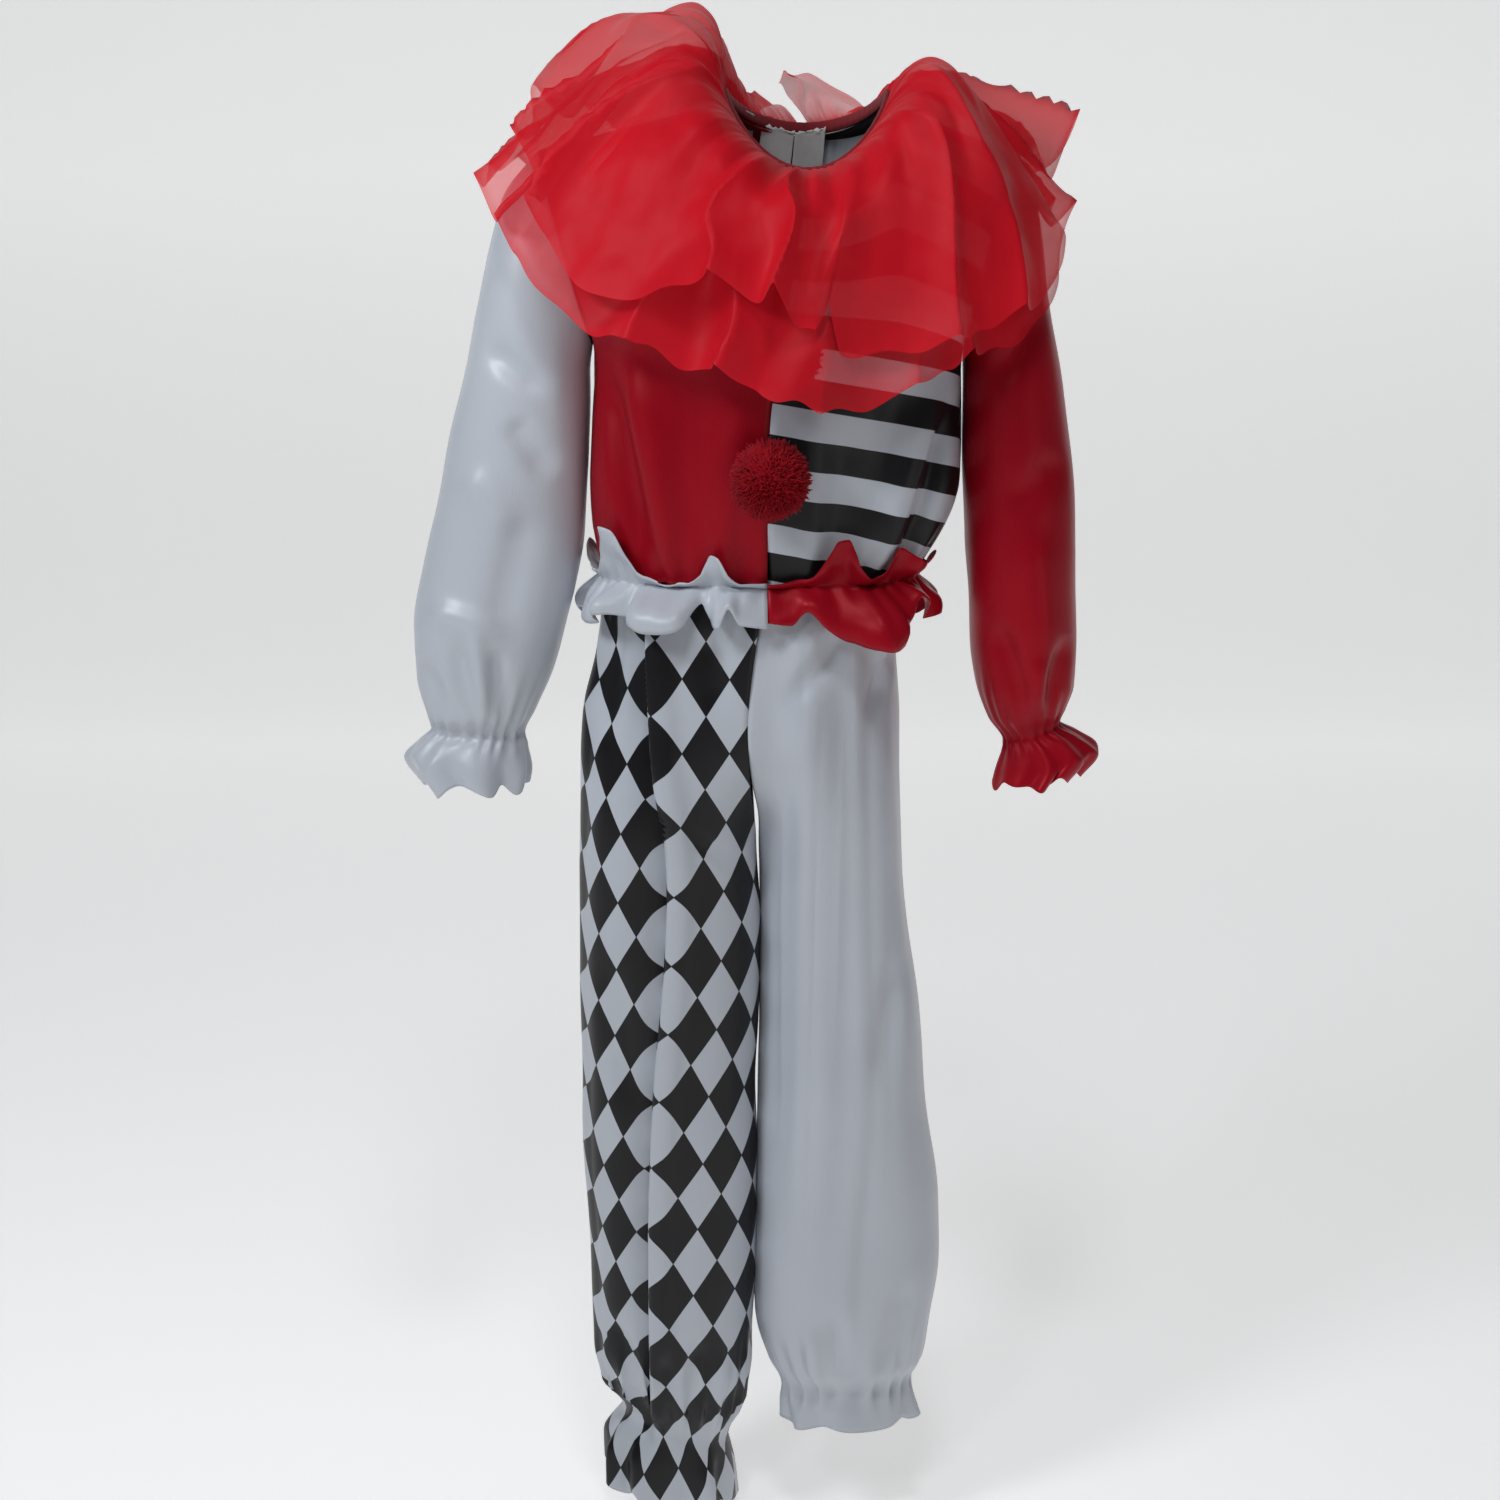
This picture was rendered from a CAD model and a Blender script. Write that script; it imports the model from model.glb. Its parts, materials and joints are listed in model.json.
"""Looks of the clown costume, built around its frame. Tables are in millimetres, objects in metres."""

import json
import math

import bmesh
import bpy
import numpy as np
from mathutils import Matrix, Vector, noise

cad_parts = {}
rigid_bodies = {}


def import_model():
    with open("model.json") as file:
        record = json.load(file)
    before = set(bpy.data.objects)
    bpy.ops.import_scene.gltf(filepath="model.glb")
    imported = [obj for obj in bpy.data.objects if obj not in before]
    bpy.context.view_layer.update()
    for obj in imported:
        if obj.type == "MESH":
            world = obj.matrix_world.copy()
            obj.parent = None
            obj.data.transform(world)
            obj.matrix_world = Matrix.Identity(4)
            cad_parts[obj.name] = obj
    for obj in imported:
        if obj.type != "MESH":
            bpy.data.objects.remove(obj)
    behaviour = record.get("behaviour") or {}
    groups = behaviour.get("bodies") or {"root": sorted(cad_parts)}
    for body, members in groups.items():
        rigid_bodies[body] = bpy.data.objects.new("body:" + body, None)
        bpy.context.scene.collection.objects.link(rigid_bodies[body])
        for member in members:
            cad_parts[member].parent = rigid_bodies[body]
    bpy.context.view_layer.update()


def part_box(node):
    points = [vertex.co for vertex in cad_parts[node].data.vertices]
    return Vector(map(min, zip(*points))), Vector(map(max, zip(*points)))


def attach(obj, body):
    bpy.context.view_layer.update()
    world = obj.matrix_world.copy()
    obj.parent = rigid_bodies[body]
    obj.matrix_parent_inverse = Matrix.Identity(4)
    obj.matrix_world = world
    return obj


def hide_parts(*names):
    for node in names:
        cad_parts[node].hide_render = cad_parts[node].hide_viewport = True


bl_info = {
    "name": "Clown Costume",
    "version": (1, 0, 0),
    "blender": (4, 5, 0),
    "location": "3D View > Sidebar > Costume",
    "description": "Builds a quartered satin clown suit with an organza ruffle collar",
    "category": "Add Mesh",
}

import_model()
BODY = "root"
MM = 0.001


# ---------- tables and curves ----------

class Table:
    """Named columns of numbers, read smoothly and without overshoot against the first column."""

    def __init__(self, names, *rows):
        keys = names.split()
        ordered = np.array(sorted(rows), dtype=float)
        self.key = ordered[:, 0]
        self.columns = {name: ordered[:, i] for i, name in enumerate(keys)}

    def read(self, name, at):
        xs, ys = self.key, self.columns[name]
        at = np.clip(at, xs[0], xs[-1])
        rise = np.diff(ys) / np.diff(xs)
        product, total = rise[:-1] * rise[1:], rise[:-1] + rise[1:]
        slope = np.empty_like(ys)
        slope[0], slope[-1] = rise[0], rise[-1]
        slope[1:-1] = np.where(product > 0, 2 * product / np.where(product > 0, total, 1), 0)
        i = np.clip(np.searchsorted(xs, at, side="right") - 1, 0, len(xs) - 2)
        span = xs[i + 1] - xs[i]
        t = (at - xs[i]) / span
        held = ys[i] * (1 + 2 * t) * (1 - t) ** 2 + ys[i + 1] * t * t * (3 - 2 * t)
        return held + span * (slope[i] * t * (1 - t) ** 2 - slope[i + 1] * t * t * (1 - t))


BOXINESS = 0.86
WAIST_Z = -298
CHEST_Z = -147
CROTCH_Z = -500
RISE_START_Z = -385
NECK = {"x": 4, "width": 50, "depth": 46, "side_z": 2, "front_drop": 51, "back_drop": 17}
NECK_SHARE = 0.42
SHOULDER = {-1: (-165, -27), 1: (130, -27)}
ARMHOLE_DEPTH = 38
HALF_SEAM = 0.04
CENTRE_LAP = 0.5
BINDING_THICK = 0.5
PATCH_THICK = 0.6
CLOSED = 0.05  # doubled points nearer than this are merged where a tube closes
BACK_TURN = 176.5
BINDING_TURN = 179.9

TRUNK = Table(
    "z left right centre front back",
    (-345, -133, 66, -29, 60, 54),
    (-298, -127.5, 76, -20.5, 58, 52),
    (-280, -132, 88, -20.5, 61, 55),
    (-262, -136, 98.5, -20.5, 65, 59),
    (-236, -137, 106, -20, 69, 62),
    (-200, -135, 106.5, -19.5, 72, 64),
    (-147, -132, 105, -12, 73, 64),
)

SLEEVE_WHITE = (
    "in_x in_z out_x out_z half wave",
    (-133, -147, -165, -27, 38, 0),
    (-135.5, -166, -190, -58, 41, 0),
    (-136.5, -196, -206, -120, 43, 0),
    (-138, -232, -222, -187, 43, 0),
    (-140.5, -268, -236, -243, 43, 0),
    (-147, -302, -248, -292, 42, 0),
    (-156, -334, -256, -332, 42, 0),
    (-166, -367, -255, -367, 39, 0),
    (-177, -391, -249, -392, 32, 0.2),
    (-185, -406, -246, -402, 24, 0.5),
    (-183, -414, -256, -410, 29, 2.5),
    (-182, -428, -265, -421, 34, 6),
    (-184, -440, -252, -440, 36, 8),
)
SLEEVE_RED = (
    "in_x in_z out_x out_z half wave",
    (106, -147, 130, -27, 38, 0),
    (106.5, -166, 151, -62, 41, 0),
    (107.5, -198, 160, -117, 42, 0),
    (108.5, -236, 172, -180, 42, 0),
    (109.5, -272, 181, -244, 41, 0),
    (113.5, -310, 184.5, -296, 40, 0),
    (116, -346, 186.5, -344, 39, 0),
    (120.5, -371, 186, -371, 36, 0),
    (129, -394, 181, -388, 27, 0.2),
    (140, -410, 177, -398, 20, 0.5),
    (139, -418, 190, -406, 25, 2.5),
    (136, -430, 202, -417, 30, 5),
    (134, -440, 190, -432, 32, 7),
)

# tilt lowers the inner side of a level; wave ripples it; fold is the depth of the long front fold.
LEG_HARLEQUIN = Table(
    "z side inner front back fold tilt wave",
    (-298, -127.5, -20.5, 58, 52, 4, 0, 0),
    (-345, -134, -29, 60, 54, 12, 0, 0),
    (-390, -145, -33, 60, 54, 15, 0, 0),
    (-430, -147, -31, 58, 52, 16, 0, 0),
    (-470, -148, -28, 55, 50, 15, 0, 0),
    (-500, -149, -26, 52, 48, 15, 0, 0),
    (-540, -149.5, -24.5, 50, 46, 14, 0, 0),
    (-670, -150.5, -27, 48, 44, 14, 0, 0),
    (-745, -148, -26.5, 47, 43, 13, 0, 0),
    (-810, -146, -28, 46, 42, 12, 2, 0),
    (-860, -144.5, -30, 43, 40, 11, 6, 0),
    (-892, -137, -38, 37, 35, 8, 14, 0.3),
    (-912, -125, -48, 28, 27, 3, 24, 0.6),
    (-922, -131, -47, 31, 30, 0, 24, 2.5),
    (-938, -138, -46, 35, 33, 0, 24, 6),
    (-962, -137, -45, 37, 35, 0, 24, 8),
)
LEG_WHITE = Table(
    "z side inner front back fold tilt wave",
    (-298, 76, -20.5, 58, 52, 0, 0, 0),
    (-345, 66, -29, 60, 54, 5, 0, 0),
    (-390, 69, -33, 60, 54, 7, 0, 0),
    (-430, 70, -31, 56, 51, 7, 0, 0),
    (-470, 71, -28, 52, 48, 7, 0, 0),
    (-500, 72.5, -26, 48, 45, 7, 0, 0),
    (-540, 77, -25, 47, 44, 7, 0, 0),
    (-600, 87, -25.5, 47, 44, 6, 0, 0),
    (-670, 93, -27, 47, 44, 6, 0, 0),
    (-745, 102.5, -27, 47, 44, 6, 0, 0),
    (-790, 104.5, -28, 46, 43, 6, 0, 0),
    (-835, 100, -27.5, 44, 41, 5, 0, 0),
    (-868, 94, -17.5, 38, 36, 3, 2, 0.3),
    (-886, 85, -6.5, 28, 27, 0, 5, 0.6),
    (-898, 88, -9, 31, 30, 0, 5, 2.5),
    (-912, 91, -8, 33, 32, 0, 5, 5),
)
# The long fold and the cloth's upright thread, both as seen from the front.
FOLD_HARLEQUIN = Table(
    "z x",
    (-915, -99), (-764, -98), (-652, -93), (-552, -84), (-496, -81.5), (-414, -90.5), (-298, -97),
)
FOLD_WHITE = Table(
    "z x",
    (-890, 38), (-804, 39), (-654, 47), (-510, 43), (-298, 39),
)
THREAD_HARLEQUIN = Table(
    "z x",
    (-962, -97), (-867, -91), (-773, -85), (-676, -77), (-577, -67), (-481, -62.5), (-383, -60), (-305, -60),
)
THREAD_WHITE = Table("z x", (-912, 40), (-305, 20))

FRILL_WHITE = Table(
    "turn rise drop top_out low_out",
    (0, 3, 25, 5, 10), (6, 3, 23, 6, 12), (9, 8, 11, 10, 15), (12, 20, 25, 14, 16), (15, 21, 20, 13, 9),
    (18, 9, 10, 8, 7),
    (24, 2, 26, 6, 22), (32, 2, 28, 6, 26), (40, 4, 24, 6, 20), (46, 16, 21, 8, 8),
    (52, 35, 19, 14, 18), (57, 37, 20, 14, 20),
    (63, 22, 26, 9, 12), (71, 7, 29, 6, 14), (81, 5, 24, 6, 9), (92, 10, 22, 6, 18), (104, 22, 32, 12, 9),
    (116, 9, 24, 6, 19), (128, 10, 33, 6, 10), (140, 24, 25, 12, 18), (152, 9, 32, 6, 9),
    (166, 14, 24, 8, 17), (180, 10, 30, 5, 10),
)
FRILL_RED = Table(
    "turn rise drop top_out low_out",
    (0, 3, 22, 5, 6), (6, 3, 23, 5, 8), (11, 4, 14, 6, 12), (16, 16, 24, 9, 12), (20, 30, 30, 15, 14),
    (24, 31, 34, 15, 18),
    (29, 13, 37, 12, 26), (35, 5, 39, 8, 30), (41, 9, 36, 10, 29), (47, 24, 26, 14, 22),
    (55, 17, 8, 16, 19), (64, 12, 16, 10, 14), (74, 9, 26, 6, 10), (83, 18, 24, 10, 16), (92, 9, 28, 6, 10),
    (102, 10, 20, 7, 18), (114, 22, 31, 12, 9), (126, 9, 24, 6, 18), (140, 10, 32, 6, 10),
    (152, 22, 25, 12, 17), (166, 9, 31, 6, 9), (180, 10, 28, 5, 10),
)

COLLAR_UPPER = Table(
    "turn crest_x crest_y crest_z rim_x rim_y rim_z",
    (-177, -20, 66, 6, -38, 96, -34),
    (-150, -44, 72, 12, -88, 112, -28),
    (-125, -58, 52, 48, -134, 84, 4),
    (-105, -70, 22, 63, -166, 46, 6),
    (-90, -76, -6, 56, -173, 2, -8),
    (-75, -82, -34, 34, -170, -40, -37),
    (-58, -80, -62, 6, -157, -80, -80),
    (-42, -62, -86, -24, -112, -106, -120),
    (-25, -40, -98, -44, -64, -118, -108),
    (-8, -10, -108, -58, -18, -136, -118),
    (6, 10, -108, -58, 6, -138, -130),
    (14, 22, -105, -54, 23, -132, -108),
    (21, 34, -101, -50, 29, -126, -145),
    (38, 64, -88, -28, 80, -112, -146),
    (55, 86, -70, -2, 116, -98, -132),
    (70, 92, -42, 20, 152, -66, -116),
    (85, 92, -11, 22, 174, -22, -66),
    (95, 88, 6, 22, 153, 10, -36),
    (106, 86, 24, 19, 175, 26, -19),
    (124, 76, 46, 13, 156, 64, -32),
    (136, 54, 56, 5, 88, 80, -22),
    (148, 32, 55, 4, 56, 66, 0),
    (166, 10, 52, 10, 8, 58, 30),
    (177, -3, 51, 6, -14, 56, 20),
)
COLLAR_LOWER = Table(
    "turn crest_x crest_y crest_z rim_x rim_y rim_z",
    (-177, -18, 60, -12, -42, 96, -66),
    (-150, -42, 62, -4, -92, 100, -66),
    (-125, -60, 46, 24, -150, 66, -36),
    (-105, -74, 18, 34, -190, 30, -42),
    (-90, -85, -6, 30, -201, -6, -50),
    (-75, -94, -32, 20, -186, -52, -74),
    (-58, -86, -60, 0, -168, -72, -103),
    (-42, -58, -74, -40, -120, -92, -143),
    (-25, -38, -84, -66, -74, -104, -153),
    (-8, -10, -98, -82, -24, -126, -170),
    (8, 14, -98, -82, 10, -126, -181),
    (22, 34, -88, -70, 38, -106, -182),
    (38, 60, -78, -42, 84, -96, -162),
    (55, 82, -62, -10, 108, -84, -150),
    (70, 98, -36, 11, 146, -58, -134),
    (85, 102, -10, 8, 172, -20, -92),
    (102, 100, 15, 4, 170, 12, -64),
    (122, 84, 38, 2, 150, 50, -58),
    (150, 46, 58, -10, 80, 96, -68),
    (177, 14, 58, -16, 30, 98, -70),
)

CREASE_DEPTH = 1.6


def boxy(value):
    return np.sign(value) * np.abs(value) ** BOXINESS


def smooth(t):
    held = np.clip(t, 0, 1)
    return held * held * (3 - 2 * held)


def point(x, y, z):
    return np.stack(np.broadcast_arrays(x, y, z), axis=-1).astype(float)


def hump(value, centre, width):
    return np.exp(-(((value - centre) / width) ** 2))


def normals_of(points):
    """Unit normals of a grid of points: across turned towards up."""
    across = np.gradient(points, axis=1)
    up = np.gradient(points, axis=0)
    cross = np.cross(across, up)
    return cross / np.maximum(np.linalg.norm(cross, axis=-1, keepdims=True), 1e-9)


def uneven_wave(turns, count, seed):
    """A wave round one turn (0 to 1) with about count crests, none quite alike, from -1 to 1."""
    angle = 2 * math.pi * turns
    drift = 1.3 * np.sin(2 * angle + seed) + 0.9 * np.sin(3 * angle + 2.1 * seed)
    drift = drift + 0.5 * np.sin(5 * angle + seed)
    size = 0.78 + 0.22 * np.sin(4 * angle + 1.7 * seed)
    return np.cos(count * angle + drift) * size


def soft_noise(points, size, seed):
    """Smooth noise over a grid of points, from about -1 to 1; size is its grain in millimetres."""
    flat = points.reshape(-1, 3) / size
    shift = Vector((seed * 7.3, seed * 3.1, seed * 5.7))
    values = [noise.noise(Vector(p) + shift) for p in flat]
    return np.array(values).reshape(points.shape[:-1])


def crease_field(points, rows, face):
    """Height of every crease at each point of a grid, on the front (face -1) or back (face 1)."""
    x, y, z = points[..., 0], points[..., 1], points[..., 2]
    field = np.zeros_like(x)
    for x0, z0, x1, z1, width, height in rows:
        along = np.array([x1 - x0, z1 - z0], dtype=float)
        length = np.hypot(*along)
        along /= length
        s = (x - x0) * along[0] + (z - z0) * along[1]
        off = np.abs(-(x - x0) * along[1] + (z - z0) * along[0])
        bend = 0.07 * length * np.sin(np.pi * np.clip(s / length, 0, 1))
        taper = smooth((s + 0.15 * length) / (0.35 * length)) * smooth((1.15 * length - s) / (0.45 * length))
        field += CREASE_DEPTH * height * taper * hump(off, bend * 0.3, width)
    return np.where(face * y > 0, field, 0)


# ---------- cloth sheets ----------

def cloth_mesh(name, points, flat, merge=0.0, dense=None):
    """A grid mesh through the points (mm), with the flat pattern (mm) as its UV map, in metres.

    dense, if given, is kept as a second map: how closely the cloth is packed there, from 0 to 1.
    """
    rows, columns = points.shape[0] - 1, points.shape[1] - 1
    mesh = bpy.data.meshes.new(name)
    bm = bmesh.new()
    bmesh.ops.create_grid(bm, x_segments=columns, y_segments=rows, size=0.5)
    uv = bm.loops.layers.uv.new("flat")
    packed = bm.loops.layers.uv.new("dense") if dense is not None else None
    place = {}
    for v in bm.verts:
        place[v.index] = (round((v.co.y + 0.5) * rows), round((v.co.x + 0.5) * columns))
    for face in bm.faces:
        face.smooth = True
        for loop in face.loops:
            row, column = place[loop.vert.index]
            loop[uv].uv = flat[row, column] * MM
            if packed:
                loop[packed].uv = (dense[row, column], 0)
    for v in bm.verts:
        row, column = place[v.index]
        v.co = points[row, column] * MM
    if merge:
        bmesh.ops.remove_doubles(bm, verts=bm.verts, dist=merge * MM)
    bm.to_mesh(mesh)
    bm.free()
    return mesh


def flat_size(mesh):
    """Width, length and area of a mesh's flat pattern, in metres."""
    layer = mesh.uv_layers["flat"].data
    co = np.empty(len(layer) * 2)
    layer.foreach_get("uv", co)
    co = co.reshape(-1, 2)
    area = 0.0
    for face in mesh.polygons:
        ring = co[list(face.loop_indices)]
        nxt = np.roll(ring, -1, axis=0)
        area += abs(np.sum(ring[:, 0] * nxt[:, 1] - nxt[:, 0] * ring[:, 1])) / 2
    width, length = co.max(axis=0) - co.min(axis=0)
    return float(width), float(length), float(min(area, width * length))


def placed(name, mesh, material):
    piece = bpy.data.objects.new(name, mesh)
    bpy.context.collection.objects.link(piece)
    mesh.materials.append(material)
    return piece


def add_sheet(name, points, flat, material, thick=0.0, outward=1, merge=0.0, dense=None):
    """A cloth piece from a grid; outward says which way its normals face, and the wall grows inward."""
    if outward < 0:
        points, flat = points[:, ::-1], flat[:, ::-1]
        dense = None if dense is None else dense[:, ::-1]
    mesh = cloth_mesh(name, points, flat, merge, dense)
    piece = placed(name, mesh, material)
    if thick:
        wall = piece.modifiers.new("wall", "SOLIDIFY")
        wall.thickness = thick * MM
        wall.offset = -1
        wall.use_even_offset = False
    width, length, area = flat_size(mesh)
    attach(piece, BODY)
    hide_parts(name)
    return piece


# Columns and rows of each piece's grid.
GRID = {
    "panel": (56, 96), "sleeve": (108, 190), "leg": (200, 168), "frill": (230, 26),
    "collar": (520, 56), "binding": (220, 16), "patch": (30, 60),
}


def grid_of(piece):
    """Two grids of shares from 0 to 1: across the columns and up the rows."""
    columns, rows = GRID[piece]
    return np.meshgrid(np.linspace(0, 1, columns + 1), np.linspace(0, 1, rows + 1))


def run_along(points, axis):
    """Distance walked along a grid of points, from its first row (axis 0) or column (axis 1)."""
    step = np.linalg.norm(np.diff(points, axis=axis), axis=-1)
    start = np.zeros_like(step[:1] if axis == 0 else step[:, :1])
    return np.concatenate([start, np.cumsum(step, axis=axis)], axis=axis)


# ---------- the suit's surfaces ----------

def trunk_point(z, turn, out=0.0):
    angle = np.radians(turn)
    centre = TRUNK.read("centre", z)
    reach = np.abs(np.where(turn < 0, TRUNK.read("left", z), TRUNK.read("right", z)) - centre)
    depth = np.where(np.abs(turn) < 90, TRUNK.read("front", z), TRUNK.read("back", z))
    x = centre + reach * boxy(np.sin(angle)) + out * np.sin(angle)
    return point(x, -depth * boxy(np.cos(angle)) - out * np.cos(angle), z)


def neck_point(turn, out=0.0, lift=0.0):
    angle = np.radians(turn)
    ahead = np.cos(angle)
    drop = NECK["front_drop"] * np.maximum(ahead, 0) ** 1.5 + NECK["back_drop"] * np.maximum(-ahead, 0) ** 1.5
    x = NECK["x"] + (NECK["width"] + out) * np.sin(angle)
    return point(x, -(NECK["depth"] + out) * ahead, NECK["side_z"] - drop + lift)


def top_edge(side, face, across):
    centre_turn = 0 if face < 0 else 180
    turn = centre_turn + (90 - centre_turn) * np.clip(across / NECK_SHARE, 0, 1)
    neck = neck_point(side * turn)
    along = np.clip((across - NECK_SHARE) / (1 - NECK_SHARE), 0, 1)
    tip_x, tip_z = SHOULDER[side]
    start = neck_point(np.full_like(across, side * 90.0))
    neck_x, neck_z = start[..., 0], start[..., 2]
    shoulder = point(neck_x + (tip_x - neck_x) * along, 0, neck_z + (tip_z - neck_z) * along)
    return np.where((across <= NECK_SHARE)[..., None], neck, shoulder)


def armhole_edge(side, face, up):
    tip_x, tip_z = SHOULDER[side]
    under = trunk_point(np.full_like(up, CHEST_Z), np.full_like(up, side * 90.0))
    bulge = ARMHOLE_DEPTH * np.sqrt(np.maximum(0, 1 - (2 * up - 1) ** 2))
    return point(under[..., 0] + (tip_x - under[..., 0]) * up, face * bulge, CHEST_Z + (tip_z - CHEST_Z) * up)


def yoke_point(side, face, across, up):
    turn = side * (90 * across if face < 0 else 180 - 90 * across)
    chest = trunk_point(np.full_like(across, CHEST_Z), turn)
    outer = armhole_edge(side, face, up) - armhole_edge(side, face, np.zeros_like(up))
    reach = armhole_edge(side, face, np.ones_like(up)) - armhole_edge(side, face, np.zeros_like(up))
    roll = 1 - np.sqrt(np.maximum(0, 1 - up * up))
    share = np.stack([up, roll, up], axis=-1)
    between = chest + (top_edge(side, face, across) - chest) * share
    return between + across[..., None] * (outer - reach * share)


def panel_point(side, face, across, height):
    turn = side * (90 * across if face < 0 else 180 - 90 * across)
    trunk = trunk_point(CHEST_Z + (CHEST_Z - WAIST_Z) * np.minimum(height, 0), turn)
    yoke = yoke_point(side, face, across, np.clip(height, 0, 1))
    return np.where((height >= 0)[..., None], yoke, trunk)


def ring_table(rows):
    """A sleeve's rings as a table against the distance walked down the sleeve."""
    names, rings = rows[0], np.array(rows[1:], dtype=float)
    centre = (rings[:, 0:2] + rings[:, 2:4]) / 2
    walked = np.concatenate([[0], np.cumsum(np.linalg.norm(np.diff(centre, axis=0), axis=1))])
    return Table("walked " + names, *[(w, *ring) for w, ring in zip(walked, rings)])


# ---------- finishes ----------

class Value:
    """A shader socket that takes Python arithmetic; each step adds a Math node."""

    def __init__(self, finish, socket):
        self.finish, self.socket = finish, socket

    def math(self, operation, *others, swap=False):
        terms = [self, *others]
        if swap:
            terms.reverse()
        return self.finish.node("ShaderNodeMath", {"operation": operation}, dict(enumerate(terms)))

    def __add__(self, other):
        return self.math("ADD", other)

    def __sub__(self, other):
        return self.math("SUBTRACT", other)

    def __rsub__(self, other):
        return self.math("SUBTRACT", other, swap=True)

    def __mul__(self, other):
        return self.math("MULTIPLY", other)

    def __truediv__(self, other):
        return self.math("DIVIDE", other)

    __radd__ = __add__
    __rmul__ = __mul__


class Finish:
    """A material under construction, with its Principled shader."""

    def __init__(self, name, **constants):
        self.material = bpy.data.materials.new(name)
        self.material.use_nodes = True
        self.tree = self.material.node_tree
        self.tree.nodes.clear()
        self.shader = self.tree.nodes.new("ShaderNodeBsdfPrincipled")
        output = self.tree.nodes.new("ShaderNodeOutputMaterial")
        self.tree.links.new(self.shader.outputs["BSDF"], output.inputs["Surface"])
        for socket, value in constants.items():
            self.shader.inputs[socket.replace("_", " ")].default_value = value

    def node(self, kind, settings=None, values=None, output=0):
        made = self.tree.nodes.new(kind)
        for key, setting in (settings or {}).items():
            setattr(made, key, setting)
        for key, value in (values or {}).items():
            self.feed(made.inputs[key], value)
        return Value(self, made.outputs[output])

    def feed(self, socket, value):
        if isinstance(value, Value):
            self.tree.links.new(value.socket, socket)
        else:
            socket.default_value = value

    def set(self, socket, value):
        self.feed(self.shader.inputs[socket], value)

    def flat(self):
        """The piece's flat pattern in metres: across and along."""
        place = self.node("ShaderNodeUVMap", {"uv_map": "flat"})
        split = self.node("ShaderNodeSeparateXYZ", values={0: place})
        return split, Value(self, split.socket.node.outputs[1]), place

    def objects(self):
        return self.node("ShaderNodeTexCoord", output="Object")

    def grain(self, place, scale, detail=2.0, rough=0.5):
        values = {"Vector": place, "Scale": scale, "Detail": detail, "Roughness": rough}
        return self.node("ShaderNodeTexNoise", values=values)

    def mix(self, share, first, second):
        return self.node(
            "ShaderNodeMix", {"data_type": "RGBA"}, {"Factor": share, "A": first, "B": second}, output=2,
        )

    def bump(self, height, strength, distance):
        values = {"Height": height, "Strength": strength, "Distance": distance}
        self.set("Normal", self.node("ShaderNodeBump", values=values))


def rgb(colour):
    return (*colour[:3], 1.0)


def darker(colour, share):
    return [c * share for c in colour]


def satin_surface(finish, fine):
    """The faint grain and slight slubs of satin, as bump and as roughness."""
    across, along, place = finish.flat()
    stretched = finish.node("ShaderNodeMapping", values={"Vector": place, "Scale": (1.0, 0.12, 1.0)})
    slubs = finish.grain(stretched, 900.0, 2.0)
    cloud = finish.grain(finish.objects(), 14.0, 3.0)
    finish.bump(slubs + cloud * 0.6, fine, 0.0005)
    finish.set("Roughness", 0.31 + cloud * 0.14)
    return across, along, cloud


def satin(name, colour, shade, glint=(1, 1, 1), gloss=0.42, coat=0.22, fine=0.25):
    finish = Finish(
        name, Sheen_Weight=0.03, Sheen_Roughness=0.35, Sheen_Tint=rgb(glint),
        Specular_IOR_Level=gloss, Specular_Tint=rgb(glint), Coat_Weight=coat, Coat_Roughness=0.36,
    )
    _, _, cloud = satin_surface(finish, fine)
    finish.set("Base Color", finish.mix(cloud, rgb(colour), rgb(shade)))
    return finish.material


def striped_satin(name, white, black, stripe, slope, start):
    """Stripes across the cloth that fall away from the centre seam by the slope."""
    finish = Finish(name, Sheen_Weight=0.02, Sheen_Roughness=0.35, Specular_IOR_Level=0.3)
    across, along, cloud = satin_surface(finish, 0.2)
    place = (along + across * slope - start * MM) / (2 * stripe * MM)
    phase = place.math("FRACT")
    dark = finish.node(
        "ShaderNodeMapRange", {"clamp": True},
        {0: (phase - 0.5).math("ABSOLUTE"), 1: 0.244, 2: 0.256, 3: 1.0, 4: 0.0},
    )
    pale = finish.mix(cloud, rgb(white), rgb(darker(white, 0.86)))
    finish.set("Base Color", finish.mix(dark, pale, rgb(black)))
    return finish.material


def harlequin_satin(name, white, black, width, height):
    """Tall diamonds in black and white, with thin pale lines crossing where the black ones meet."""
    finish = Finish(name, Sheen_Weight=0.02, Sheen_Roughness=0.35, Specular_IOR_Level=0.3)
    across, along, cloud = satin_surface(finish, 0.2)
    u = across / (width * MM)
    v = along / (height * MM)
    first = u + v + 0.5
    second = u - v + 0.5
    parity = (first.math("ROUND") + second.math("ROUND")) * 0.5
    odd = (parity.math("FRACT") - 0.25).math("SIGN") * 0.5 + 0.5
    first_edge = (first.math("FRACT") - 0.5).math("ABSOLUTE")
    edge = first_edge.math("MINIMUM", (second.math("FRACT") - 0.5).math("ABSOLUTE"))
    spread = finish.node("ShaderNodeMapRange", {"clamp": True}, {0: edge, 1: 0.004, 2: 0.014, 3: 1.0, 4: 0.0})
    dark = odd.math("MAXIMUM", spread)
    pale = finish.mix(cloud, rgb(white), rgb(darker(white, 0.86)))
    finish.set("Base Color", finish.mix(dark, pale, rgb(black)))
    return finish.material


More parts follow.
